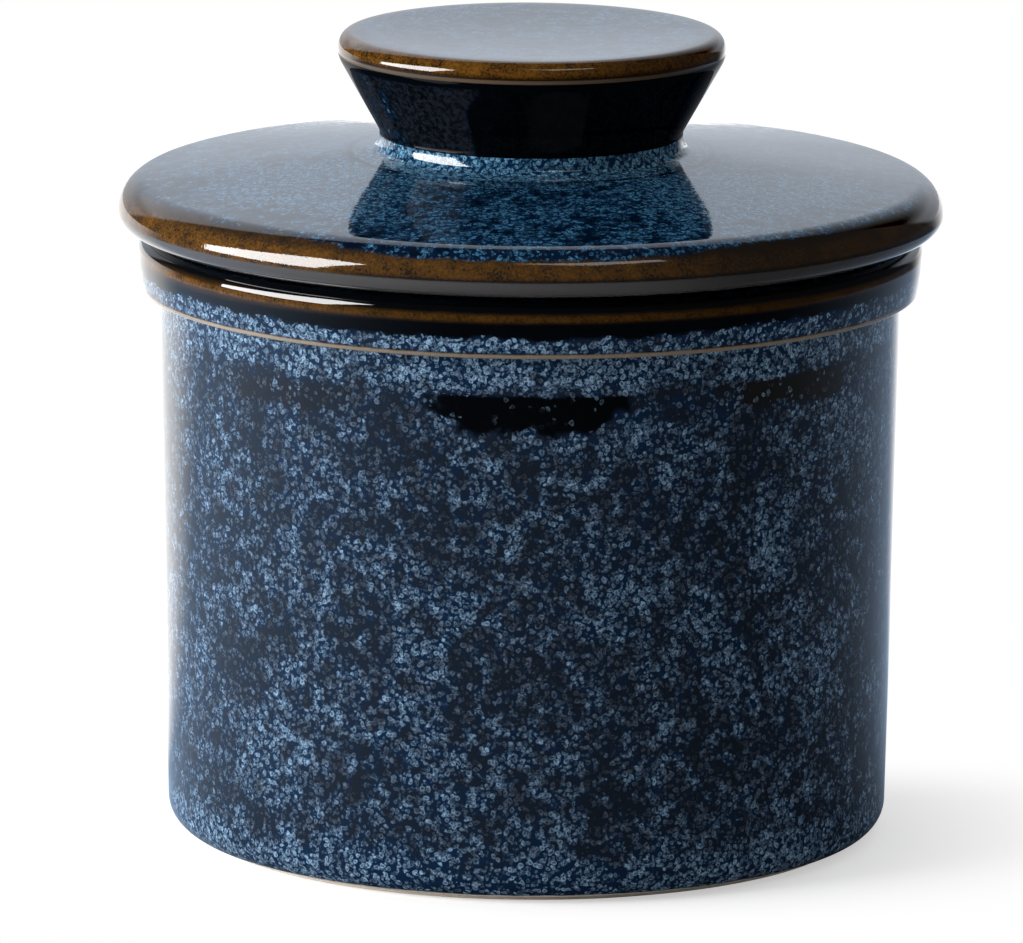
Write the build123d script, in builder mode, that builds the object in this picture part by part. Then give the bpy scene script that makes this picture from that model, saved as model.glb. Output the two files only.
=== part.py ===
from build123d import *
from math import asin, atan2, cos, degrees, hypot, radians, sin, tan
import os

# A glazed stoneware butter keeper in millimetres, +Z up, with its origin under the middle
# of the foot. A straight crock holds a little water. The lid rests on the crock's rim and
# carries a bell on its underside, an open cup that hangs in the crock with its mouth down.
# The wide knob on the lid is the foot that the lid stands on when it is turned over.

os.makedirs("parts", exist_ok=True)

# Crock, from the foot up
pot_height = 84.3
foot_inset = 4.1
foot_height = 0.6
foot_ring_width = 4.6
foot_edge_radius = 0.25
base_recess = 1.5
floor_thickness = 6.0
wall_radius = 51.25
wall_draft = 1.45
wall_thickness = 5.1
base_corner_radius = 3.9
floor_corner_radius = 7.0

# Collar round the mouth of the crock
collar_height = 8.3
collar_projection = 2.95
collar_ledge = 2.35
ledge_rise = 0.2
ledge_cove_radius = 0.5
arris_radius = 0.35
shoulder_radius = 2.3
mouth_edge_radius = 2.3

# Lid plate
lid_overhang = 2.85
lid_under_radius = 2.1
lid_under_turn = 60
lid_belly_radius = 8.1
lid_over_radius = 4.5
crown_slope = 7.0
neck_radius = 20.95
neck_cove_radius = 1.2
neck_slack_radius = 5.0
neck_slack_turn = 16
ceiling_rise = 5.0

# Knob
knob_height = 14.1
knob_radius = 26.8
knob_wall = 4.4
knob_top_thickness = 4.6
knob_rim_above = 1.95
knob_rim_below = 4.6
throat_start = 0.15
throat_radius = 1.4
knob_land = 1.2
knob_dish_depth = 0.6
hollow_corner_radius = 3.0
hollow_sink = 2.5

# Bell
bell_gap = 3.5
bell_wall = 4.2
bell_depth = 51.0
bell_lip_round = 1.7
luting_radius = 1.6
luting_edge = 0.3

# Radii and heights that the pieces share
base_radius = wall_radius - wall_draft
foot_radius = base_radius - foot_inset
collar_radius = wall_radius + collar_projection
lid_radius = collar_radius + lid_overhang
collar_z = pot_height - collar_height
shoulder_z = pot_height - shoulder_radius
floor_z = base_recess + floor_thickness
wall_slope = wall_draft / (collar_z - foot_height)


# Radius of the crock's drafted outer face at height z
def outer_wall(z):
    return base_radius + wall_slope * (z - foot_height)


# Radius of the crock's inner face at height z
def inner_wall(z):
    return outer_wall(z) - wall_thickness


mouth_radius = inner_wall(pot_height)
bell_lip_z = pot_height - bell_depth
bell_outer_radius = mouth_radius - bell_gap
bell_inner_radius = bell_outer_radius - bell_wall
lip_outer_radius = inner_wall(bell_lip_z) - bell_gap
lip_inner_radius = lip_outer_radius - bell_wall


# The corner of a section that lies nearest to the given radius and height
def corner(section, radius, z):
    return section.vertices().sort_by_distance((radius, z))[0]


# Crock: one profile, turned about the axis
with BuildPart() as crock_pot:
    with BuildSketch(Plane.XZ) as pot_section:
        with BuildLine():
            Polyline(
                (0, floor_z),
                (0, base_recess),
                (foot_radius - foot_ring_width, base_recess),
                (foot_radius - foot_ring_width, 0),
                (foot_radius, 0),
                (foot_radius, foot_height),
                (base_radius, foot_height),
                (wall_radius, collar_z),
                (wall_radius + collar_ledge, collar_z + ledge_rise),
            )
            TangentArc(
                (collar_radius, shoulder_z),
                (wall_radius + collar_ledge, collar_z + ledge_rise),
                tangent=(0, -1),
            )
            shoulder = JernArc((collar_radius, shoulder_z), (0, 1), shoulder_radius, 90)
            land = Line(shoulder @ 1, (mouth_radius + mouth_edge_radius, pot_height))
            mouth_edge = JernArc(land @ 1, (-1, 0), mouth_edge_radius, 90)
            Polyline(mouth_edge @ 1, (inner_wall(floor_z), floor_z), (0, floor_z))
        make_face()
        fillet(corner(pot_section, base_radius, foot_height), base_corner_radius)
        fillet(corner(pot_section, inner_wall(floor_z), floor_z), floor_corner_radius)
        fillet(corner(pot_section, wall_radius, collar_z), ledge_cove_radius)
        fillet(
            corner(pot_section, wall_radius + collar_ledge, collar_z + ledge_rise),
            arris_radius,
        )
        fillet(corner(pot_section, foot_radius, 0), foot_edge_radius)
        fillet(corner(pot_section, foot_radius - foot_ring_width, 0), foot_edge_radius)
    revolve(axis=Axis.Z)
crock_pot.part.label = "crock_pot"

# Lid plate: a rolled edge, a gently rising top and a cove that runs up into the knob's neck.
# Under the edge a tight round runs into a slack one, which ends on the flat seat. The cove is
# a tight round too, which runs into a slack one and ends upright.
under_sine = sin(radians(lid_under_turn))
lid_edge_z = pot_height + lid_under_radius * under_sine + lid_belly_radius * (1 - under_sine)
over_width = lid_over_radius * (1 - sin(radians(crown_slope)))
over_z = lid_edge_z + lid_over_radius * cos(radians(crown_slope))
cove_turn = 90 - crown_slope - neck_slack_turn
slack_sine = sin(radians(neck_slack_turn))
slack_cosine = cos(radians(neck_slack_turn))
cove_width = neck_cove_radius * (slack_cosine - sin(radians(crown_slope)))
slack_width = neck_slack_radius * (1 - slack_cosine)
crown_radius = neck_radius + cove_width + slack_width
crown_z = over_z + (lid_radius - over_width - crown_radius) * tan(radians(crown_slope))
cove_z = crown_z + neck_cove_radius * (cos(radians(crown_slope)) - slack_sine)
neck_z = cove_z + neck_slack_radius * slack_sine
ceiling_radius = bell_inner_radius - luting_radius
hollow_radius = neck_radius - knob_wall
with BuildPart() as lid_plate:
    with BuildSketch(Plane.XZ) as plate_section:
        with BuildLine():
            TangentArc(
                (0, pot_height + ceiling_rise), (ceiling_radius, pot_height), tangent=(1, 0)
            )
            under = JernArc((lid_radius, lid_edge_z), (0, -1), lid_under_radius, -lid_under_turn)
            belly = JernArc(under @ 1, under % 1, lid_belly_radius, lid_under_turn - 90)
            Line(belly @ 1, (ceiling_radius, pot_height))
            over = JernArc((lid_radius, lid_edge_z), (0, 1), lid_over_radius, 90 - crown_slope)
            crown = Line(over @ 1, (crown_radius, crown_z))
            cove = JernArc(crown @ 1, crown % 1, neck_cove_radius, -cove_turn)
            slack = JernArc(cove @ 1, cove % 1, neck_slack_radius, -neck_slack_turn)
            Polyline(
                slack @ 1,
                (hollow_radius, neck_z),
                (hollow_radius, neck_z - hollow_sink),
                (0, neck_z - hollow_sink),
                (0, pot_height + ceiling_rise),
            )
        make_face()
    revolve(axis=Axis.Z)
lid_plate.part.label = "lid_plate"

# Knob: a hollow flared foot with a rolled rim and a dished top, open where it meets the plate.
# The flare is the straight line that touches both the hollow round of the throat, where the
# neck ends, and the round under the rim.
knob_top_z = neck_z + knob_height
rim_z = knob_top_z - knob_rim_above
throat_z = neck_z + throat_start
flare_run = knob_radius - knob_rim_below - neck_radius - throat_radius
flare_rise = rim_z - throat_z
flare_rounds = knob_rim_below + throat_radius
flare_lean = atan2(flare_run, flare_rise) + asin(flare_rounds / hypot(flare_run, flare_rise))
dish_radius = knob_radius - knob_rim_above - knob_land
hollow_top_z = knob_top_z - knob_top_thickness
with BuildPart() as lid_knob:
    with BuildSketch(Plane.XZ) as knob_section:
        with BuildLine():
            rim_under = JernArc(
                (knob_radius, rim_z), (0, -1), knob_rim_below, -degrees(flare_lean)
            )
            throat = JernArc(
                (neck_radius, throat_z), (0, 1), throat_radius, -degrees(flare_lean)
            )
            Line(rim_under @ 1, throat @ 1)
            Polyline(
                throat @ 0,
                (neck_radius, neck_z),
                (hollow_radius, neck_z),
                (hollow_radius, throat_z),
                (knob_radius - knob_wall, hollow_top_z),
                (0, hollow_top_z),
                (0, knob_top_z - knob_dish_depth),
            )
            TangentArc(
                (0, knob_top_z - knob_dish_depth), (dish_radius, knob_top_z), tangent=(1, 0)
            )
            rim_over = JernArc((knob_radius, rim_z), (0, 1), knob_rim_above, 90)
            Line(rim_over @ 1, (dish_radius, knob_top_z))
        make_face()
        fillet(corner(knob_section, knob_radius - knob_wall, hollow_top_z), hollow_corner_radius)
    revolve(axis=Axis.Z)
lid_knob.part.label = "lid_knob"

# Bell: a ring wall that follows the crock's draft, with a rounded lip at its mouth, luted to
# the plate's underside with small coves
with BuildPart() as butter_bell:
    with BuildSketch(Plane.XZ) as bell_section:
        with BuildLine():
            Line(
                (bell_inner_radius - luting_radius, pot_height),
                (bell_outer_radius + luting_radius, pot_height),
            )
            Line(
                (bell_outer_radius + luting_radius, pot_height),
                (bell_outer_radius + luting_radius, pot_height - luting_edge),
            )
            outer_cove = JernArc(
                (bell_outer_radius + luting_radius, pot_height - luting_edge),
                (-1, 0),
                luting_radius,
                90,
            )
            Polyline(
                outer_cove @ 1,
                (lip_outer_radius, bell_lip_z),
                (lip_inner_radius, bell_lip_z),
                (bell_inner_radius, pot_height - luting_edge - luting_radius),
            )
            inner_cove = JernArc(
                (bell_inner_radius, pot_height - luting_edge - luting_radius),
                (0, 1),
                luting_radius,
                90,
            )
            Line(inner_cove @ 1, (bell_inner_radius - luting_radius, pot_height))
        make_face()
        fillet(corner(bell_section, lip_outer_radius, bell_lip_z), bell_lip_round)
        fillet(corner(bell_section, lip_inner_radius, bell_lip_z), bell_lip_round)
    revolve(axis=Axis.Z)
butter_bell.part.label = "butter_bell"

export_step(crock_pot.part, "parts/crock_pot.step")
export_step(lid_plate.part, "parts/lid_plate.step")
export_step(lid_knob.part, "parts/lid_knob.step")
export_step(butter_bell.part, "parts/butter_bell.step")
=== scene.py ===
import math

import bmesh
import bpy
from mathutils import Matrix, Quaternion, Vector


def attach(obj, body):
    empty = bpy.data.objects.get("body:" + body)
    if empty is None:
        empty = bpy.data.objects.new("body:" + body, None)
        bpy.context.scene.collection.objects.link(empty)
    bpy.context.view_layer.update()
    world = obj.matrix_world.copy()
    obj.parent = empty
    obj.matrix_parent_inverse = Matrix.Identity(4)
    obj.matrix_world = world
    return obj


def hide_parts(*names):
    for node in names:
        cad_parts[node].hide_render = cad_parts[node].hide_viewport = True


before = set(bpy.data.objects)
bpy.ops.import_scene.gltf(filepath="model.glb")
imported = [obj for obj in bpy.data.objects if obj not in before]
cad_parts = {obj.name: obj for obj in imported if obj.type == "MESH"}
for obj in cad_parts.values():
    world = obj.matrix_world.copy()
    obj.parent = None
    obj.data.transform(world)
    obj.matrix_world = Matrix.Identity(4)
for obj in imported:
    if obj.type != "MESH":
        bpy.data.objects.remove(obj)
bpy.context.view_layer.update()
scene = bpy.context.scene
mm = 0.001
print("frame loaded:", ", ".join(sorted(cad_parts)))


def newObject(name, data):
    made = bpy.data.objects.new(name, data)
    scene.collection.objects.link(made)
    return made


# Camera: a long lens a little above the lid, with the small roll of the hand-held frame

shot = {
    "lookAtHeight": 50.0,
    "sideStep": -2.4,        # the jar stands a little right of the frame's middle
    "distance": 1600.0,
    "elevation": 11.534,
    "focalLength": 406.2,
    "sensorWidth": 36.0,
    "roll": 0.4,
}


def placeCamera(spec):
    camera = newObject("camera", bpy.data.cameras.new("camera"))
    camera.data.sensor_width = spec["sensorWidth"]
    camera.data.lens = spec["focalLength"]
    tilt = math.radians(spec["elevation"])
    target = Vector((spec["sideStep"], 0, spec["lookAtHeight"])) * mm
    back = Vector((0, -math.cos(tilt), math.sin(tilt)))
    camera.location = target + back * spec["distance"] * mm
    turn = (-back).to_track_quat("-Z", "Y") @ Quaternion((0, 0, 1), math.radians(spec["roll"]))
    camera.rotation_euler = turn.to_euler()
    scene.camera = camera


placeCamera(shot)
print("camera placed")


# Shader wiring: a Wire is a socket that plain arithmetic works on, and Board adds the nodes

class Wire:
    def __init__(self, board, socket):
        self.board = board
        self.socket = socket

    def math(self, operation, *others):
        values = {0: self}
        values.update({i + 1: other for i, other in enumerate(others)})
        return self.board.add("ShaderNodeMath", {"operation": operation}, values)

    def __add__(self, other):
        return self.math("ADD", other)

    def __sub__(self, other):
        return self.math("SUBTRACT", other)

    def __mul__(self, other):
        return self.math("MULTIPLY", other)

    def __truediv__(self, other):
        return self.math("DIVIDE", other)

    def __rsub__(self, other):
        return self.board.add("ShaderNodeMath", {"operation": "SUBTRACT"}, {0: other, 1: self})

    def __rtruediv__(self, other):
        return self.board.add("ShaderNodeMath", {"operation": "DIVIDE"}, {0: other, 1: self})

    def __neg__(self):
        return self.math("MULTIPLY", -1.0)

    __radd__ = __add__
    __rmul__ = __mul__

    def __abs__(self):
        return self.math("ABSOLUTE")


class Board:
    def __init__(self, tree):
        self.tree = tree
        self.tree.nodes.clear()

    def add(self, kind, settings=None, values=None, output=0):
        node = self.tree.nodes.new(kind)
        for name, setting in (settings or {}).items():
            setattr(node, name, setting)
        for name, value in (values or {}).items():
            if isinstance(value, Wire):
                self.tree.links.new(value.socket, node.inputs[name])
            else:
                node.inputs[name].default_value = value
        return Wire(self, node.outputs[output]) if len(node.outputs) else node

    def other(self, wire, output):
        return Wire(self, wire.socket.node.outputs[output])

    # 0 below start, 1 above end, and smooth between; a start above the end runs the other way
    def ramp(self, value, start, end):
        kind = {"interpolation_type": "SMOOTHSTEP"}
        return self.add("ShaderNodeMapRange", kind, {0: value, 1: start, 2: end})

    def mixColour(self, factor, low, high):
        kind = {"data_type": "RGBA", "clamp_factor": True}
        return self.add("ShaderNodeMix", kind, {0: factor, 6: low, 7: high}, output=2)

    def vector(self, operation, first, second=None, scale=None):
        values = {0: first}
        if second is not None:
            values[1] = second
        if scale is not None:
            values["Scale"] = scale
        return self.add("ShaderNodeVectorMath", {"operation": operation}, values)

    # Object coordinates in millimetres, then the same as x, y and z
    def placeInMm(self):
        place = self.add("ShaderNodeTexCoord", {}, {}, "Object")
        place = self.vector("SCALE", place, scale=1 / mm)
        return (place, *self.parts(place))

    def parts(self, wire):
        split = self.add("ShaderNodeSeparateXYZ", {}, {0: wire})
        return split, self.other(split, 1), self.other(split, 2)

    def noise(self, place, size, detail=2.0, roughness=0.5):
        values = {"Vector": place, "Scale": 1.0 / size, "Detail": detail, "Roughness": roughness}
        return self.add("ShaderNodeTexNoise", {"noise_dimensions": "3D"}, values)


def colour(red, green, blue):
    return (red, green, blue, 1.0)


def newMaterial(name):
    material = bpy.data.materials.new(name)
    material.use_nodes = True
    return material, Board(material.node_tree)


# The glaze: pale blue crystals, each a soft ring, in clusters on a navy and brown-black ground

glaze = {
    "crystalSize": 0.80,       # spacing of the crystals, mm
    "fineCrystalSize": 0.56,
    "ringRadius": 0.36,        # in spacings
    "ringWidth": 0.19,
    "ringFill": 0.28,
    "ringEdge": 0.02,
    "wander": 0.65,            # how far they are pushed out of round, mm
    "wanderSize": 0.8,
    "fineShift": (17.3, 5.1, 11.7),
    "fineShare": 0.7,
    "breakSize": 0.40,         # what breaks the rings up, mm
    "clusterSize": 2.4,
    "clusterShare": 0.65,      # the rest comes from the drift
    "driftSize": 11.0,
    "thin": 0.36,              # cluster value below which crystals are few and grey
    "thick": 0.66,             # and above which they are crowded and blue
    "fewest": 0.46,            # share of the cells with a crystal where the glaze is thin
    "most": 1.01,
    "groundBrown": colour(0.0070, 0.0108, 0.0175),
    "groundBlue": colour(0.0035, 0.0130, 0.036),
    "crystalGrey": colour(0.130, 0.160, 0.208),
    "crystalBlue": colour(0.198, 0.318, 0.455),
    "crystalPale": colour(0.230, 0.350, 0.480),
    "black": colour(0.0006, 0.0009, 0.0014),
    # the crock's grey patches; on the knob the same layer holds a painted reflection
    "wornAndReflection": colour(0.0085, 0.0080, 0.0080),
    "umber": colour(0.016, 0.008, 0.0025),
    "amber": colour(0.140, 0.060, 0.008),
    # a painted reflection: the floor's grey mirrored on the underside of the lid's edge
    "paintedUnderReflection": colour(0.052, 0.050, 0.050),
    "tan": colour(0.35, 0.285, 0.215),
    "clay": colour(0.72, 0.65, 0.57),
    "clayDark": colour(0.56, 0.49, 0.42),
    "speckSize": 0.38,
    "toneSize": 2.8,
    "waverSize": 4.0,          # how coarsely the edges of the zones wander, mm
    "gloss": 0.035,
    "clayRoughness": 0.6,
    "mattRoughness": 0.7,
    "ripple": 0.008,           # depth of the relief, mm
    "rippleSize": 7.0,
    "pitSize": 1.1,
    "grainSize": 0.5,
    "backFade": (3.1, 2.3),    # what differs between left and right fades out behind, radians
}


# One layer of crystals: a thin ring in each cell, shown in the given share of the cells
def crystalLayer(board, place, spec, size, share):
    cells = {"Vector": place, "Scale": 1.0 / size, "Randomness": 1.0}
    distance = board.add("ShaderNodeTexVoronoi", {"voronoi_dimensions": "3D"}, cells)
    pick = board.add("ShaderNodeSeparateColor", {}, {0: board.other(distance, "Color")})
    ring = board.ramp(abs(distance - spec["ringRadius"]), spec["ringWidth"], spec["ringEdge"])
    inner = board.ramp(distance, spec["ringRadius"] + spec["ringWidth"], spec["ringRadius"])
    shown = board.ramp(share - pick, 0.0, 0.12)
    strength = board.other(pick, 1) * 0.75 + 0.25
    return ring.math("MAXIMUM", inner * spec["ringFill"]) * shown * strength


def crystals(board, place, spec, share):
    wander = board.noise(place, spec["wanderSize"], detail=1.0)
    shift = board.vector("SUBTRACT", board.other(wander, 1), (0.5, 0.5, 0.5))
    bent = board.vector("ADD", place, board.vector("SCALE", shift, scale=spec["wander"]))
    coarse = crystalLayer(board, bent, spec, spec["crystalSize"], share)
    moved = board.vector("ADD", bent, spec["fineShift"])
    fine = crystalLayer(board, moved, spec, spec["fineCrystalSize"], share - 0.1)
    broken = board.ramp(board.noise(place, spec["breakSize"], detail=1.0), 0.30, 0.62) * 0.65 + 0.35
    return (coarse + fine * spec["fineShare"]).math("MINIMUM", 1.0) * broken


def glazeMaterial(name, zones, spec):
    material, board = newMaterial(name)
    place, x, y, z = board.placeInMm()
    radius = (x * x + y * y).math("SQRT")
    side = x.math("ARCTAN2", -y)                      # 0 in front, growing to the right
    waver = board.noise(place, spec["waverSize"], detail=3.0, roughness=0.6) - 0.5
    zone = zones(board, place, side, z, radius, waver)

    # rich glaze is thick and blue, lean glaze thin and brown
    cluster = board.noise(place, spec["clusterSize"], detail=2.0, roughness=0.6)
    drift = board.noise(place, spec["driftSize"], detail=2.0)
    depth = cluster * spec["clusterShare"] + drift * (1 - spec["clusterShare"]) + zone["rich"]
    rich = board.ramp(depth, spec["thin"], spec["thick"])
    share = (rich * (spec["most"] - spec["fewest"]) + spec["fewest"]) * zone["crystals"]
    pattern = crystals(board, place, spec, share) * (rich * 0.75 + 0.25)
    ground = board.mixColour(rich, spec["groundBrown"], spec["groundBlue"])
    # ground layers; on the knob the first of them is a painted reflection
    for layer in ("wornAndReflection", "navy", "black"):
        if layer in zone:
            ground = board.mixColour(zone[layer], ground, spec[layer])
    crystal = board.mixColour(rich, spec["crystalGrey"], spec["crystalBlue"])
    crystal = board.mixColour(zone["pale"], crystal, spec["crystalPale"])
    glazed = board.mixColour(pattern, ground, crystal)

    if "amber" in zone:
        speck = board.noise(place, spec["speckSize"], detail=2.0, roughness=0.7)
        tone = board.noise(place, spec["toneSize"], detail=3.0, roughness=0.65)
        golden = board.ramp(speck, 0.30, 0.72) * 0.60 + board.ramp(tone, 0.25, 0.75) * 0.50 - 0.10
        breaking = board.mixColour(golden * zone["gold"], spec["umber"], spec["amber"])
        glazed = board.mixColour(zone["amber"], glazed, breaking)
    # the first layer is a painted reflection under the edges of the lid and the knob
    for layer in ("paintedUnderReflection", "tan"):
        if layer in zone:
            glazed = board.mixColour(zone[layer], glazed, spec[layer])

    relief = board.noise(place, spec["rippleSize"], detail=1.0) * 3.0
    relief = relief + board.noise(place, spec["pitSize"]) * 0.5 + pattern * 0.5
    base, rough = glazed, spec["gloss"]
    if "clay" in zone:
        grain = board.noise(place, spec["grainSize"], detail=4.0, roughness=0.7)
        bare = board.mixColour(grain, spec["clayDark"], spec["clay"])
        base = board.mixColour(zone["clay"], glazed, bare)
        rough = zone["clay"] * spec["clayRoughness"] + spec["gloss"]
        relief = relief + zone["clay"] * grain * 6.0
    bumped = board.add("ShaderNodeBump", {}, {
        "Strength": 1.0, "Distance": spec["ripple"] * mm, "Height": relief})
    shaded = board.add("ShaderNodeBsdfPrincipled", {}, {
        "Base Color": base, "Roughness": rough, "IOR": 1.5, "Normal": bumped})
    if "dull" in zone:
        matt = board.add("ShaderNodeBsdfPrincipled", {}, {
            "Base Color": base, "Roughness": spec["mattRoughness"], "Specular IOR Level": 0.0,
            "Normal": bumped})
        shaded = board.add("ShaderNodeMixShader", {}, {0: zone["dull"], 1: shaded, 2: matt})
    board.add("ShaderNodeOutputMaterial", {}, {"Surface": shaded})
    return material


# Turning: a profile in the half plane of radius and height, swept round the axis

# Points along a chain of corners (radius, height, rounding), each rounded corner as an arc
def roundOff(corners, step=6.0):
    points = []
    for i, (r, h, rounding) in enumerate(corners):
        here = Vector((r, h))
        if rounding == 0:
            points.append(here)
            continue
        before = (Vector(corners[i - 1][:2]) - here).normalized()
        after = (Vector(corners[i + 1][:2]) - here).normalized()
        half = before.angle(after) / 2
        reach = rounding / math.tan(half)
        centre = here + (before + after).normalized() * rounding / math.sin(half)
        first = here + before * reach - centre
        sweep = first.angle_signed(here + after * reach - centre)
        count = max(3, math.ceil(abs(math.degrees(sweep)) / step))
        for k in range(count + 1):
            angle = -sweep * k / count
            points.append(centre + Vector((
                first.x * math.cos(angle) - first.y * math.sin(angle),
                first.x * math.sin(angle) + first.y * math.cos(angle))))
    return points


# Points on an arc about a centre, from one angle to another in degrees
def arcPoints(centre, radius, start, end, step=4.0):
    count = max(3, math.ceil(abs(end - start) / step))
    turns = [math.radians(start + (end - start) * k / count) for k in range(count + 1)]
    return [Vector((centre[0] + radius * math.cos(t), centre[1] + radius * math.sin(t)))
            for t in turns]


# The arc from a point to an end where it runs straight up
def arcToUpright(start, end, step=4.0):
    across, rise = end[0] - start[0], end[1] - start[1]
    radius = (across * across + rise * rise) / (2 * across)
    first = -math.degrees(math.asin(rise / radius))
    return arcPoints((end[0] - radius, end[1]), radius, first, 0, step)


# Long straight runs get rings of their own, so that the glaze's swell has points to move
def evenOut(points, longest):
    dense = [points[0]]
    for point in points[1:]:
        gap = (point - dense[-1]).length
        pieces = max(1, math.ceil(gap / longest))
        start = dense[-1]
        dense.extend(start.lerp(point, k / pieces) for k in range(1, pieces + 1))
    return dense


wheel = {
    "segments": 320, "longestRun": 1.6, "swellDepth": 0.05, "swellSize": 14.0, "sharpAngle": 40.0,
    "closingGap": 0.002,
}


# Geometry Nodes: each ring of the grid takes its radius and height from the profile's own points
def turningTree(spec):
    tree = bpy.data.node_groups.new("turning", "GeometryNodeTree")
    face = tree.interface
    face.new_socket("Geometry", in_out="INPUT", socket_type="NodeSocketGeometry")
    named = {}
    for label, kind, value in (
            ("Rings", "NodeSocketInt", 2), ("Segments", "NodeSocketInt", spec["segments"]),
            ("Swell Depth", "NodeSocketFloat", spec["swellDepth"] * mm),
            ("Swell Size", "NodeSocketFloat", spec["swellSize"] * mm),
            ("Sharp Angle", "NodeSocketFloat", math.radians(spec["sharpAngle"]))):
        named[label] = face.new_socket(label, in_out="INPUT", socket_type=kind)
        named[label].default_value = value
    named["Finish"] = face.new_socket("Finish", in_out="INPUT", socket_type="NodeSocketMaterial")
    face.new_socket("Geometry", in_out="OUTPUT", socket_type="NodeSocketGeometry")
    board = Board(tree)
    given = board.add("NodeGroupInput")
    rings, segments = board.other(given, "Rings"), board.other(given, "Segments")
    grid = board.add("GeometryNodeMeshGrid", {}, {
        "Size X": 1.0, "Size Y": 1.0, "Vertices X": rings, "Vertices Y": segments + 1})
    along, across, _ = board.parts(board.add("GeometryNodeInputPosition"))
    row = ((along + 0.5) * (rings - 1)).math("ROUND")
    around = (across + 0.5) * (2 * math.pi)
    taken = board.add("GeometryNodeSampleIndex", {"data_type": "FLOAT_VECTOR", "domain": "POINT"}, {
        "Geometry": given, "Value": board.add("GeometryNodeInputPosition"), "Index": row})
    radius, _, height = board.parts(taken)
    turned = board.add("ShaderNodeCombineXYZ", {}, {
        0: radius * around.math("COSINE"), 1: radius * around.math("SINE"), 2: height})
    swept = board.add("GeometryNodeSetPosition", {}, {"Geometry": grid, "Position": turned})
    closed = board.add("GeometryNodeMergeByDistance", {}, {
        "Geometry": swept, "Distance": spec["closingGap"] * mm})
    closed = board.add("GeometryNodeFlipFaces", {}, {"Mesh": closed})
    swell = board.add("ShaderNodeTexNoise", {}, {
        "Scale": 1.0 / board.other(given, "Swell Size"), "Detail": 1.0})
    inward = board.vector("SCALE", board.add("GeometryNodeInputNormal"),
                          scale=swell * board.other(given, "Swell Depth") * -1.0)
    swollen = board.add("GeometryNodeSetPosition", {}, {"Geometry": closed, "Offset": inward})
    smooth = board.add("GeometryNodeSetShadeSmooth", {}, {"Geometry": swollen})
    fold = board.add("GeometryNodeInputMeshEdgeAngle")
    crisp = fold.math("GREATER_THAN", board.other(given, "Sharp Angle"))
    edged = board.add("GeometryNodeSetShadeSmooth", {"domain": "EDGE"}, {
        "Geometry": smooth, "Selection": crisp, "Shade Smooth": False})
    whole = board.add("GeometryNodeRealizeInstances", {}, {"Geometry": edged})
    done = board.add("GeometryNodeSetMaterial", {}, {
        "Geometry": whole, "Material": board.other(given, "Finish")})
    board.add("NodeGroupOutput", {}, {"Geometry": done})
    return tree, named


turning, turningInputs = turningTree(wheel)


def turnPiece(name, points, finish, node, body):
    points = evenOut(points, wheel["longestRun"])
    mesh = bpy.data.meshes.new(name + "Profile")
    chain = [(i, i + 1) for i in range(len(points) - 1)]
    mesh.from_pydata([(p.x * mm, 0, p.y * mm) for p in points], chain, [])
    piece = newObject(name, mesh)
    modifier = piece.modifiers.new("turning", "NODES")
    modifier.node_group = turning
    modifier[turningInputs["Rings"].identifier] = len(points)
    modifier[turningInputs["Finish"].identifier] = finish
    graph = bpy.context.evaluated_depsgraph_get()
    solid = bpy.data.meshes.new_from_object(piece.evaluated_get(graph))
    piece.modifiers.clear()
    piece.data = solid
    shell = bmesh.new()
    shell.from_mesh(solid)
    bmesh.ops.recalc_face_normals(shell, faces=shell.faces)
    shell.to_mesh(solid)
    shell.free()
    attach(piece, body)
    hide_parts(node)
    print("turned", name, "with", len(points), "rings and", len(solid.polygons), "faces")


# Crock

crock = {
    "height": 84.3, "footRadius": 45.7, "footHeight": 0.6, "footRingWidth": 4.6, "footRound": 0.25,
    "recess": 1.5, "floorThickness": 6.0, "baseRadius": 49.8, "baseRound": 3.9,
    "wallRadius": 51.25, "wallThickness": 5.1, "floorRound": 7.0,
    "collarHeight": 8.3, "collarRadius": 54.2, "ledge": 2.35, "ledgeRise": 0.2,
    "ledgeCove": 0.5, "arrisRound": 0.35, "shoulderRound": 2.3, "mouthRound": 2.3,
    # where the glaze changes: heights and radii in mm, and angles in radians from the front,
    # growing to the right; a pair is where a change starts and where it is complete
    "outside": (47.5, 48.5),
    "collar": (75.8, 76.1),
    "base": (9.5, 2.5),
    "baseFront": (0.70, 0.25),
    "underLedge": (70.6, 73.0),
    "blackBand": (78.5, 79.4),
    "rimAmber": 81.75,
    "arris": 76.34,
    "arrisRadius": (53.1, 52.9),
    "clay": (1.25, 1.00),
    "left": (-0.30, -0.90),
    "right": (0.25, 0.70),
    "ragged": 2.2,             # how far the waver moves the edges, mm
    # lean patches under the collar, whose foot may slope or bow with the angle; ragged says how
    # far the waver moves the top, the foot and the sides
    # the bald patch in front has few crystals and black ground: partly sparse crystals, partly a
    # painted dark reflection
    "baldAndDarkReflection": {"top": (71.0, 70.3), "foot": (64.4, 65.8), "slope": 0.0, "bow": -42.0,
             "middle": 0.0, "width": (0.31, 0.24), "ragged": (1.2, 6.5, 0.30)},
    "thin": {"top": (71.3, 70.0), "foot": (65.0, 68.0), "slope": 0.0, "bow": 0.0,
             "middle": 0.42, "width": (0.24, 0.12), "ragged": (2.2, 2.2, 0.4)},
    "wornRight": {"top": (71.6, 70.8), "foot": (68.4, 69.8), "slope": 2.2, "bow": 0.0,
                  "middle": 0.78, "width": (0.28, 0.16), "ragged": (1.5, 3.0, 0.3)},
    "wornLeft": {"top": (71.0, 69.6), "foot": (65.5, 67.5), "slope": 0.0, "bow": 0.0,
                 "middle": -0.72, "width": (0.26, 0.12), "ragged": (3.3, 3.3, 0.3)},
}


def crockInner(spec, height):
    collarFoot = spec["height"] - spec["collarHeight"]
    slope = (spec["wallRadius"] - spec["baseRadius"]) / (collarFoot - spec["footHeight"])
    return spec["baseRadius"] + slope * (height - spec["footHeight"]) - spec["wallThickness"]


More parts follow.
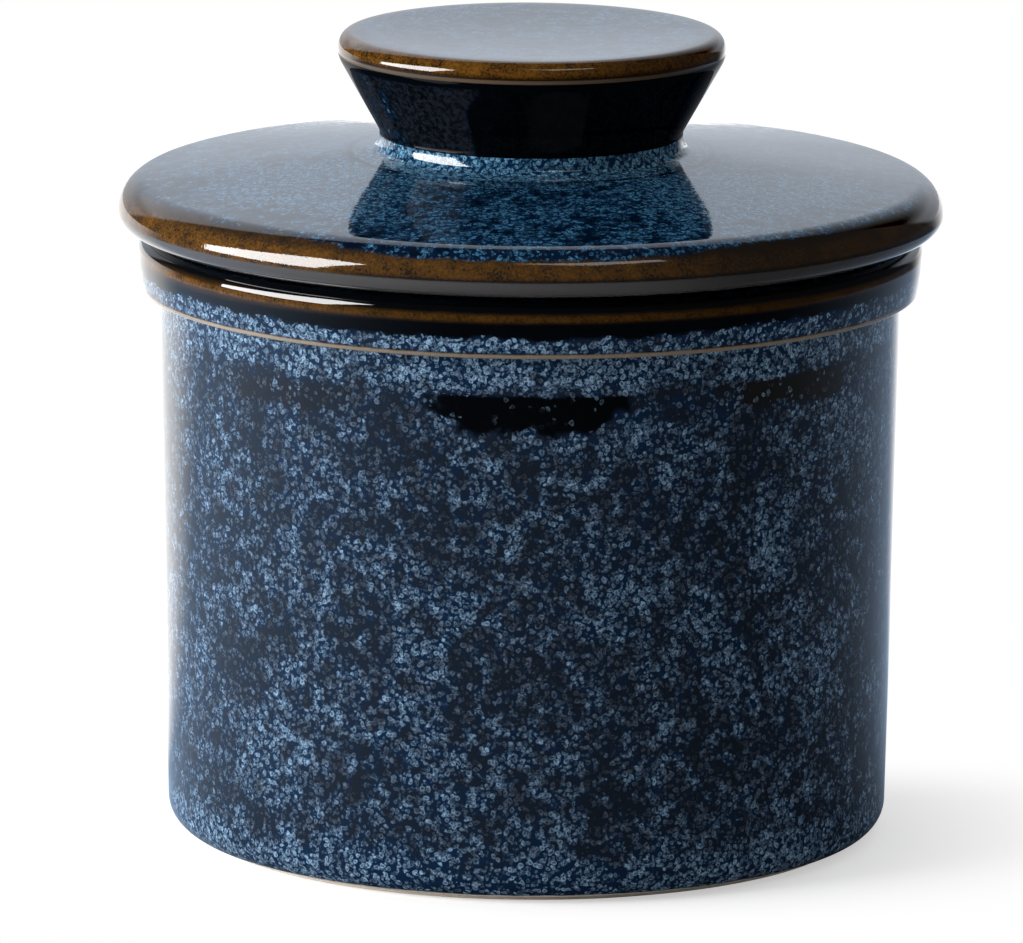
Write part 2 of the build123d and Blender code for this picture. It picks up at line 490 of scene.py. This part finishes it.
def crockProfile(spec):
    collarFoot = spec["height"] - spec["collarHeight"]
    ringInner = spec["footRadius"] - spec["footRingWidth"]
    ledgeRadius = spec["wallRadius"] + spec["ledge"]
    shoulder = spec["height"] - spec["shoulderRound"]
    floor = spec["recess"] + spec["floorThickness"]
    face = arcToUpright((ledgeRadius, collarFoot + spec["ledgeRise"]),
                        (spec["collarRadius"], shoulder))
    below = roundOff([
        (0, spec["recess"], 0),
        (ringInner, spec["recess"], 0),
        (ringInner, 0, spec["footRound"]),
        (spec["footRadius"], 0, spec["footRound"]),
        (spec["footRadius"], spec["footHeight"], 0),
        (spec["baseRadius"], spec["footHeight"], spec["baseRound"]),
        (spec["wallRadius"], collarFoot, spec["ledgeCove"]),
        (ledgeRadius, collarFoot + spec["ledgeRise"], spec["arrisRound"]),
        (face[1].x, face[1].y, 0),
    ])
    above = roundOff([
        (spec["collarRadius"], shoulder, 0),
        (spec["collarRadius"], spec["height"], spec["shoulderRound"]),
        (crockInner(spec, spec["height"]), spec["height"], spec["mouthRound"]),
        (crockInner(spec, floor), floor, spec["floorRound"]),
        (0, floor, 0),
    ])
    return below + face[2:-1] + above[1:]


def crockZones(board, place, side, z, radius, waver):
    ramp = board.ramp
    outside = ramp(radius, *crock["outside"])
    wave = waver * crock["ragged"]
    collar = ramp(z, *crock["collar"]) * outside
    wall = outside * (1 - collar)
    nearBase = ramp(z + wave, *crock["base"]) * outside
    baseFront = ramp(abs(side + 0.05), *crock["baseFront"]) * nearBase
    underLedge = ramp(z + wave, *crock["underLedge"]) * wall
    facing = ramp(abs(side), *glaze["backFade"])
    left = ramp(side, *crock["left"]) * facing
    right = ramp(side, *crock["right"]) * facing

    def patch(spec):
        raggedTop, raggedFoot, raggedSide = spec["ragged"]
        foot = z + side * spec["slope"] + side * side * spec["bow"] + waver * raggedFoot
        across = abs(side - spec["middle"]) + waver * raggedSide
        return (ramp(z + waver * raggedTop, *spec["top"]) * ramp(foot, *spec["foot"])
                * ramp(across, *spec["width"]) * wall)

    # the bald patch is partly sparse crystals and partly a painted dark reflection
    baldAndDarkReflection = patch(crock["baldAndDarkReflection"])
    thin = patch(crock["thin"])
    wornAndReflection = patch(crock["wornRight"]).math("MAXIMUM", patch(crock["wornLeft"]) * 0.6)

    # the rim: black glaze down to a ragged edge, with an amber line along its outermost height
    bandHeight = z - left * 0.3 - right * 0.7 + waver * 2.4
    blackBand = ramp(bandHeight, *crock["blackBand"]) * outside
    fromAmber = abs(z - crock["rimAmber"])
    amber = ramp(fromAmber - left * 0.45 + waver * 0.5, 0.95, 0.30) * outside
    arris = abs(z - crock["arris"]) + ramp(radius, *crock["arrisRadius"])
    return {
        "rich": nearBase * 0.16 + underLedge * 0.13 + collar * 0.14,
        "crystals": ((1 - baldAndDarkReflection * 0.85) * (1 - wornAndReflection * 0.70) * (1 - thin * 0.45) * (1 - blackBand)
                     * (1 - right * collar * 0.35) * (1 - baseFront * 0.35)),
        "pale": (nearBase * 0.5).math("MAXIMUM", underLedge * 0.5).math("MAXIMUM", collar * 0.3),
        "wornAndReflection": wornAndReflection,
        "black": baldAndDarkReflection.math("MAXIMUM", blackBand),
        "amber": amber.math("MAXIMUM", ramp(arris, 0.80, 0.50) * 0.85),
        "gold": ramp(fromAmber, 0.8, 0.1) * (left * 0.6 + 0.4) * (1 - right * 0.6),
        "tan": ramp(arris + waver * 0.3, 0.60, 0.30) * (left * 0.28 + 0.40),
        "clay": ramp(z + waver * 0.35, *crock["clay"]),
    }


# Lid plate

lid = {
    "overhang": 2.85, "underRound": 2.1, "underTurn": 60.0, "bellyRound": 8.1, "overRound": 4.5,
    "crownSlope": 7.0, "neckRadius": 20.95, "coveRound": 1.2, "slackRound": 5.0,
    "slackTurn": 16.0, "ceilingRise": 5.0, "hollowSink": 2.5,
    # where the glaze changes, as on the crock
    "top": (87.0, 88.0),
    "cove": (24.9, 24.0),      # radius, as the next two
    "crease": 25.1,
    "rolled": (52.5, 54.5),
    "left": (-0.30, -0.62),
    "right": (0.22, 0.55),
    "amberTop": (90.3, 89.8),
    "amberFoot": (86.9, 87.3),
    "goldTop": (90.6, 89.4),
    "goldFoot": (87.2, 88.0),
    "dark": (91.9, 90.9),
    # the underside: painted black as shade, with a painted grey reflection of the floor on it,
    # except its part by the seat
    "under": (87.3, 87.0),
    "hidden": (85.2, 84.7),
    # the glaze is bluer on both sides of the knob: two angles and a radius
    "cheekFront": (0.35, 0.60),
    "cheekBack": (1.5, 1.1),
    "cheekRadius": (50.0, 43.0),
}


lidGlaze = dict(
    glaze,
    crystalSize=0.72,
    fineCrystalSize=0.50,
    clusterSize=2.2,
    thin=0.38,
    thick=0.57,
    fewest=0.30,
    groundBrown=colour(0.0007, 0.0050, 0.0160),
    groundBlue=colour(0.0016, 0.0140, 0.042),
    crystalGrey=colour(0.030, 0.112, 0.210),
    crystalBlue=colour(0.076, 0.245, 0.425),
    crystalPale=colour(0.160, 0.360, 0.520),
    umber=colour(0.0100, 0.0080, 0.0065),
    gloss=0.02,
    ripple=0.006,
)


def lidProfile(spec):
    ceilingRadius = bellTop - bell["wall"] - bell["lutingRound"]
    rise = spec["ceilingRise"]
    domeRadius = (ceilingRadius ** 2 + rise ** 2) / (2 * rise)
    domeEnd = math.degrees(math.acos(ceilingRadius / domeRadius))
    ceiling = arcPoints((0, seat + rise - domeRadius), domeRadius, 90, domeEnd, step=3.0)
    turned = math.radians(spec["underTurn"])
    bellyCentre = (lidRadius - spec["underRound"]
                   - (spec["bellyRound"] - spec["underRound"]) * math.cos(turned),
                   seat + spec["bellyRound"])
    belly = arcPoints(bellyCentre, spec["bellyRound"], -90, -spec["underTurn"])
    under = arcPoints((lidRadius - spec["underRound"], edgeHeight), spec["underRound"],
                      -spec["underTurn"], 0)
    over = arcPoints((lidRadius - spec["overRound"], edgeHeight), spec["overRound"], 0,
                     90 - spec["crownSlope"], step=3.0)
    # the cove is a tight round that leaves the crown's slope, then a slack one that ends upright
    slackStart = 180 + spec["slackTurn"]
    cove = arcPoints((crownRadius + spec["coveRound"] * math.sin(crownAngle), coveHeight),
                     spec["coveRound"], 270 - spec["crownSlope"], slackStart, step=5.0)
    slack = arcPoints((spec["neckRadius"] + spec["slackRound"], neckHeight),
                      spec["slackRound"], slackStart, 180)
    neck = [Vector((hollowRadius, neckHeight)),
            Vector((hollowRadius, neckHeight - spec["hollowSink"])),
            Vector((0, neckHeight - spec["hollowSink"]))]
    return ceiling + belly + under[1:] + over[1:] + cove + slack[1:] + neck


def lidZones(board, place, side, z, radius, waver):
    ramp = board.ramp
    top = ramp(z, *lid["top"])
    cove = ramp(radius + waver * 0.8, *lid["cove"]) * top
    crease = ramp(abs(radius + waver * 0.5 - lid["crease"]), 0.55, 0.20) * top
    rolled = ramp(radius, *lid["rolled"])
    facing = ramp(abs(side), *glaze["backFade"])
    left = ramp(side, *lid["left"]) * facing
    right = ramp(side, *lid["right"]) * facing
    front = 1 - left - right
    # the amber reaches higher at the sides, and a dark band lies above it
    amberHeight = z - left * 1.1 - right * 0.9 + waver * 1.2
    amber = ramp(amberHeight, *lid["amberTop"]) * ramp(z, *lid["amberFoot"]) * rolled
    dark = ramp(z + waver * 1.2, *lid["dark"]) * rolled * (1 - amber)
    # below the rolled edge the glaze is painted black without crystals, as shade on the underside;
    # the grey band on it is a painted reflection of the floor, weaker on the right
    under = ramp(z, *lid["under"]) * rolled
    hidden = under * ramp(z, *lid["hidden"])
    cheek = (ramp(abs(side), *lid["cheekFront"]) * ramp(abs(side), *lid["cheekBack"])
             * ramp(radius, *lid["cheekRadius"]) * top)
    darkest = (left + front * 0.6) * dark * 0.7
    golden = (ramp(z + waver, *lid["goldTop"]) * 0.6 + left * 0.2 + 0.1) * (1 - right * 0.7)
    return {
        "rich": cove * 0.20 + dark * front * 0.04 + cheek * 0.13,
        "crystals": (1 - (left + front * 0.45) * dark) * (1 - crease * 0.8) * (1 - under),
        "pale": cove * 0.75 + cheek * 0.25,
        "black": (crease * 0.8).math("MAXIMUM", under).math("MAXIMUM", darkest),
        "amber": amber,
        "gold": golden * ramp(z, *lid["goldFoot"]).math("MAXIMUM", left),
        "paintedUnderReflection": under * (1 - hidden) * (1 - right * 0.45),
    }


# Knob

knob = {
    "height": 14.1, "radius": 26.8, "wall": 4.4, "topThickness": 4.6, "rimAbove": 1.95,
    "rimBelow": 4.6, "throatStart": 0.15, "throatRound": 1.4, "land": 1.2, "dish": 0.6,
    "hollowRound": 3.0,
    # where the glaze changes
    "flareFoot": (96.7, 97.1),
    "flareTop": (109.3, 109.0),
    "neck": (19.5, 20.0),      # radius
    # the painted reflection on the flare: where its right side and top lie, where it leans over,
    # and how it fades a little at the far left
    "hazeSide": (-0.36, -0.39),
    "hazeTop": (108.0, 107.6),
    "hazeBend": (102.5, 108.0),
    "hazeLeft": (-0.62, -0.40),
    "mottle": (0.38, 0.66),
    "blue": (-0.72, -1.00),
    "amberFoot": (109.15, 109.25),
    "amberRadius": (23.6, 25.2),
    "gold": (109.4, 110.2),
    "goldRight": (0.15, 0.70),
    # a thin painted reflection line just below the rim's widest point
    "edge": 109.10,
    "edgeRadius": (24.0, 25.0),
    "edgeRight": (0.3, 0.9),
    "mottleSize": 0.7,
}


knobGlaze = dict(
    lidGlaze,
    umber=colour(0.010, 0.0045, 0.0014),
    # the grey of the painted reflection on the knob's flare
    wornAndReflection=colour(0.0105, 0.0130, 0.0195),
    navy=colour(0.0030, 0.0150, 0.040),
    # the colour of the painted reflection line under the knob's rim
    paintedUnderReflection=colour(0.078, 0.056, 0.036),
)


def knobProfile(spec):
    top = neckHeight + spec["height"]
    rim = top - spec["rimAbove"]
    throatHeight = neckHeight + spec["throatStart"]
    run = spec["radius"] - spec["rimBelow"] - lid["neckRadius"] - spec["throatRound"]
    rounds = spec["rimBelow"] + spec["throatRound"]
    lean = math.degrees(math.atan2(run, rim - throatHeight)
                        + math.asin(rounds / math.hypot(run, rim - throatHeight)))
    dishEdge = spec["radius"] - spec["rimAbove"] - spec["land"]
    dishRadius = (dishEdge ** 2 + spec["dish"] ** 2) / (2 * spec["dish"])
    dishTurn = math.degrees(math.asin(dishEdge / dishRadius))
    dish = arcPoints((0, top - spec["dish"] + dishRadius), dishRadius, -90, dishTurn - 90, step=0.5)
    rimOver = arcPoints((spec["radius"] - spec["rimAbove"], rim), spec["rimAbove"], 90, 0)
    rimUnder = arcPoints((spec["radius"] - spec["rimBelow"], rim), spec["rimBelow"], 0, -lean)
    throat = arcPoints((lid["neckRadius"] + spec["throatRound"], throatHeight),
                       spec["throatRound"], 180 - lean, 180)
    inside = roundOff([
        (lid["neckRadius"], neckHeight, 0),
        (hollowRadius, neckHeight, 0),
        (hollowRadius, throatHeight, 0),
        (spec["radius"] - spec["wall"], top - spec["topThickness"], spec["hollowRound"]),
        (0, top - spec["topThickness"], 0),
    ])
    return (dish + rimOver + rimUnder[1:] + throat + inside)[::-1]


def knobZones(board, place, side, z, radius, waver):
    ramp = board.ramp
    flare = (ramp(z + waver * 0.8, *knob["flareFoot"]) * ramp(z, *knob["flareTop"])
             * ramp(radius, *knob["neck"]))
    # a painted reflection: a hazy grey patch on the left of the flare, painted into the glaze's
    # colour, whose right side leans over near the top
    bend = ramp(z, *knob["hazeBend"])
    facing = ramp(abs(side), *glaze["backFade"])
    reflectionPatch = ramp(side - bend * bend * 0.10 + waver * 0.03, *knob["hazeSide"]) * flare * facing
    reflectionPatch = reflectionPatch * ramp(z + waver * 0.3, *knob["hazeTop"])
    mottle = board.noise(place, knob["mottleSize"], detail=3.0, roughness=0.65)
    # the painted reflection's grey is mottled
    reflectionMottle = ramp(mottle, *knob["mottle"]) * 0.66 + ramp(side, *knob["hazeLeft"]) * 0.14 + 0.03
    blue = ramp(side, *knob["blue"]) * ramp(waver, -0.04, 0.12) * flare * facing
    amber = ramp(z, *knob["amberFoot"]) * ramp(radius + waver * 1.5, *knob["amberRadius"])
    # a painted reflection: a thin line just below the rim's widest point, weaker on the right
    edge = ramp(abs(z - knob["edge"]), 0.34, 0.16) * ramp(radius, *knob["edgeRadius"])
    return {
        "rich": 0.0,
        "crystals": 1 - flare * (0.995 - blue * 0.14),
        "pale": 0.0,
        "wornAndReflection": reflectionPatch,
        "navy": blue,
        "black": flare * (1 - reflectionPatch * reflectionMottle),
        "dull": flare * 0.75,
        "amber": amber,
        "gold": ramp(z, *knob["gold"]) * (1 - ramp(side, *knob["goldRight"]) * facing * 0.50),
        "paintedUnderReflection": edge * (1 - ramp(side, *knob["edgeRight"]) * facing * 0.4),
    }


# Bell

bell = {
    "gap": 3.5, "wall": 4.2, "depth": 51.0, "lipRound": 1.7, "lutingRound": 1.6,
    "lutingEdge": 0.3,
    # where the glaze changes, as heights above the lip
    "amber": (2.6, 1.2),
    "clay": (0.75, 0.45),
}


def bellProfile(spec):
    lipHeight = seat - spec["depth"]
    edge = seat - spec["lutingEdge"]
    coveRound = spec["lutingRound"] * 0.999       # a hair short of the corner beside it
    ring = roundOff([
        (bellTop + spec["lutingRound"], seat, 0),
        (bellTop + spec["lutingRound"], edge, 0),
        (bellTop, edge, coveRound),
        (bellLip, lipHeight, spec["lipRound"]),
        (bellLip - spec["wall"], lipHeight, spec["lipRound"]),
        (bellTop - spec["wall"], edge, coveRound),
        (bellTop - spec["wall"] - spec["lutingRound"], edge, 0),
        (bellTop - spec["wall"] - spec["lutingRound"], seat, 0),
    ])
    return (ring + [ring[0]])[::-1]


def bellZones(board, place, side, z, radius, waver):
    above = z - (seat - bell["depth"])
    return {
        "rich": 0.0,
        "crystals": 1.0,
        "pale": 0.0,
        "amber": board.ramp(above + waver * 0.8, *bell["amber"]),
        "gold": 1.0,
        "clay": board.ramp(above + waver * 0.4, *bell["clay"]),
    }


# Radii, heights and angles that the pieces share

seat = crock["height"]
lidRadius = crock["collarRadius"] + lid["overhang"]
bellTop = crockInner(crock, seat) - bell["gap"]
bellLip = crockInner(crock, seat - bell["depth"]) - bell["gap"]
hollowRadius = lid["neckRadius"] - knob["wall"]
underSine = math.sin(math.radians(lid["underTurn"]))
edgeHeight = seat + lid["underRound"] * underSine + lid["bellyRound"] * (1 - underSine)
crownAngle = math.radians(lid["crownSlope"])
overHeight = edgeHeight + lid["overRound"] * math.cos(crownAngle)
overRadius = lidRadius - lid["overRound"] * (1 - math.sin(crownAngle))
slackAngle = math.radians(lid["slackTurn"])
crownRadius = (lid["neckRadius"] + lid["slackRound"] * (1 - math.cos(slackAngle))
               + lid["coveRound"] * (math.cos(slackAngle) - math.sin(crownAngle)))
crownHeight = overHeight + (overRadius - crownRadius) * math.tan(crownAngle)
coveHeight = crownHeight + lid["coveRound"] * math.cos(crownAngle)
neckHeight = coveHeight + (lid["slackRound"] - lid["coveRound"]) * math.sin(slackAngle)


turnPiece("crock", crockProfile(crock), glazeMaterial("crockGlaze", crockZones, glaze),
          "crock_pot", "crock")
turnPiece("lidPlate", lidProfile(lid), glazeMaterial("lidGlaze", lidZones, lidGlaze),
          "lid_plate", "lid")
turnPiece("lidKnob", knobProfile(knob), glazeMaterial("knobGlaze", knobZones, knobGlaze),
          "lid_knob", "lid")
turnPiece("butterBell", bellProfile(bell), glazeMaterial("bellGlaze", bellZones, glaze),
          "butter_bell", "lid")


# Studio: white paper, a soft box on the left, a strip light high on the right, and a screen
# behind that the glaze mirrors. Distances are in mm and angles in degrees.

studio = {
    "floorSize": 6000.0,
    "floorShade": 0.70,
    "floorGlow": 0.46,
    "bouncePaper": 0.8,
    "shadowReach": 94.0,       # how far from the jar's axis the camera sees a shadow on the floor
    "shadowFront": (45.0, 15.0),
    "greyEnd": 0.74,           # the paper's brightness far out, towards the soft box
    "greyFloor": (-220.0, -620.0),
    "greyAir": (-0.35, -0.85),
    # the floor in the glaze's mirror: dark towards the front, blue at the sides, white far behind
    "mirrorBlue": colour(0.38, 0.50, 0.68),
    "mirrorTurn": (-0.85, 0.95),
    "mirrorShare": 0.55,
    "mirrorLeast": 0.016,
    "mirrorReach": (455.0, 425.0),
    "brightTurn": (0.70, 0.95),
    "brightEdge": 1.6,
    # an outline is a row of directions: to the left of the front, and above the floor
    "boxDistance": 900.0,
    "boxRadiance": 18.0,
    "boxOutline": ((99, 3), (99, 14), (82, 24), (62, 32.5), (47, 29), (60, 4)),
    "stripDistance": 1100.0,
    "stripRadiance": 2.8,
    "stripOutline": ((8, 57), (-20, 50), (-48, 52), (-50, 58), (-20, 60)),
    # light from the air, and the screen's brightness where the glaze mirrors it
    "ambient": 0.30,
    "wallLight": 0.95,
    "wallFoot": (-0.20, 0.55),
    "wallTop": (0.87, 0.60),
    "screenEdge": (0.81, 0.85),
    "screenLevel": 0.90,
    "screenRise": 0.17,
    "screenTint": colour(0.90, 0.97, 1.07),
    "unlit": 0.03,
}


def direction(left, above):
    turn, rise = math.radians(left), math.radians(above)
    return Vector((-math.sin(turn) * math.cos(rise), -math.cos(turn) * math.cos(rise),
                   math.sin(rise)))


def makeFloor(spec):
    far = spec["floorSize"] * mm / 2
    mesh = bpy.data.meshes.new("floor")
    mesh.from_pydata([(-far, -far, 0), (far, -far, 0), (far, far, 0), (-far, far, 0)],
                     [], [(0, 1, 2, 3)])
    floor = newObject("floor", mesh)
    material, board = newMaterial("floorPaper")
    _, x, y, _ = board.placeInMm()
    reach = (x * x + y * y).math("SQRT") + 1.0
    rays = board.add("ShaderNodeLightPath")           # its first output is Is Camera Ray
    glossy = board.other(rays, "Is Glossy Ray")
    pureWhite = colour(1, 1, 1)

    # what the camera sees: white paper that keeps the soft shadow beside the jar
    shadow = spec["shadowReach"]
    pool = board.ramp(reach, shadow, shadow * 0.5) * board.ramp(y, *spec["shadowFront"])
    shade = board.add("ShaderNodeBsdfDiffuse", {}, {"Color": colour(*[spec["floorShade"]] * 3)})
    glow = board.add("ShaderNodeEmission", {}, {"Color": pureWhite, "Strength": spec["floorGlow"]})
    near = board.add("ShaderNodeAddShader", {}, {0: shade, 1: glow})
    # towards the soft box the paper greys, so that a lid which mirrors the box stands out from it
    white = board.add("ShaderNodeEmission", {}, {"Color": pureWhite, "Strength": 1.0})
    grey = board.add("ShaderNodeEmission", {}, {"Color": pureWhite, "Strength": spec["greyEnd"]})
    greying = board.ramp(x, *spec["greyFloor"])
    sweep = board.add("ShaderNodeMixShader", {}, {0: greying, 1: white, 2: grey})
    seen = board.add("ShaderNodeMixShader", {}, {0: pool, 1: sweep, 2: near})

    # what the glaze mirrors
    ahead, aside = y / reach, x / reach
    level = board.ramp(ahead - aside * 0.45, *spec["mirrorTurn"])
    level = level * spec["mirrorShare"] + spec["mirrorLeast"]
    level = level * (board.ramp(reach, *spec["mirrorReach"]) * 0.85 + 0.15)
    black = board.add("ShaderNodeBsdfDiffuse", {}, {"Color": colour(0, 0, 0)})
    blue = board.add("ShaderNodeBsdfDiffuse", {}, {"Color": spec["mirrorBlue"]})
    cool = board.add("ShaderNodeEmission", {}, {"Color": spec["mirrorBlue"], "Strength": 1.0})
    both = board.add("ShaderNodeAddShader", {}, {0: blue, 1: cool})
    mirrored = board.add("ShaderNodeMixShader", {}, {0: level, 1: black, 2: both})
    leftward = aside.math("MINIMUM", 0.0)
    edge = board.ramp(ahead - aside * 0.15 - leftward * 0.12, *spec["brightTurn"])
    bright = board.add("ShaderNodeEmission", {}, {
        "Color": pureWhite, "Strength": spec["brightEdge"]})
    mirrored = board.add("ShaderNodeMixShader", {}, {0: edge, 1: mirrored, 2: bright})

    bounce = board.add("ShaderNodeBsdfDiffuse", {}, {"Color": colour(*[spec["bouncePaper"]] * 3)})
    others = board.add("ShaderNodeMixShader", {}, {0: glossy, 1: bounce, 2: mirrored})
    whole = board.add("ShaderNodeMixShader", {}, {0: rays, 1: others, 2: seen})
    board.add("ShaderNodeOutputMaterial", {}, {"Surface": whole})
    mesh.materials.append(material)


def makeLight(name, outline, distance, radiance):
    corners = [direction(*corner) for corner in outline]
    middle = sum(corners, Vector()).normalized()
    reach = distance * mm
    mesh = bpy.data.meshes.new(name)
    mesh.from_pydata([corner * reach / corner.dot(middle) for corner in corners], [],
                     [tuple(range(len(corners)))])
    light = newObject(name, mesh)
    material, board = newMaterial(name + "Cloth")
    glow = board.add("ShaderNodeEmission", {}, {"Color": colour(1, 1, 1), "Strength": radiance})
    board.add("ShaderNodeOutputMaterial", {}, {"Surface": glow})
    mesh.materials.append(material)
    light.visible_camera = False


def makeWorld(spec):
    world = bpy.data.worlds.new("studioAir")
    world.use_nodes = True
    world.cycles.sampling_method = "NONE"
    board = Board(world.node_tree)
    right, behind, up = board.parts(board.add("ShaderNodeTexCoord", {}, {}, "Generated"))
    rays = board.add("ShaderNodeLightPath")           # its first output is Is Camera Ray
    glossy = board.other(rays, "Is Glossy Ray")
    wall = board.ramp(behind - right * 0.12, *spec["wallFoot"]) * board.ramp(up, *spec["wallTop"])
    ambient = wall * spec["wallLight"] + spec["ambient"]

    # the screen stands behind, arches overhead and reaches further on the right
    across = right.math("MAXIMUM", 0.0) * 0.29 - right * 0.137
    screen = board.ramp(behind * 0.902 + up * 0.41 + across, *spec["screenEdge"])
    # it is brightest in the middle, and higher up it is brighter on the left
    higher = board.ramp(up, 0.20, 0.36) * (spec["screenRise"] - right * 0.9)
    lower = board.ramp(up, 0.15, 0.05) * 0.08
    aside = abs(right) * (board.ramp(up, 0.15, 0.25) * 0.34 + 0.55)
    level = spec["screenLevel"] - aside - right * 0.1 + higher - lower
    mirrored = screen * level + spec["unlit"]

    lighting = glossy * mirrored + (1 - glossy) * ambient
    seen = 1 - board.ramp(right, *spec["greyAir"]) * (1 - spec["greyEnd"])
    strength = rays * seen + (1 - rays) * lighting
    tint = board.mixColour(glossy, colour(1, 1, 1), spec["screenTint"])
    air = board.add("ShaderNodeBackground", {}, {"Color": tint, "Strength": strength})
    board.add("ShaderNodeOutputWorld", {}, {"Surface": air})
    scene.world = world


makeFloor(studio)
makeLight("softBox", studio["boxOutline"], studio["boxDistance"], studio["boxRadiance"])
makeLight("stripLight", studio["stripOutline"], studio["stripDistance"], studio["stripRadiance"])
makeWorld(studio)
scene.view_settings.view_transform = "Standard"
print("studio lit")
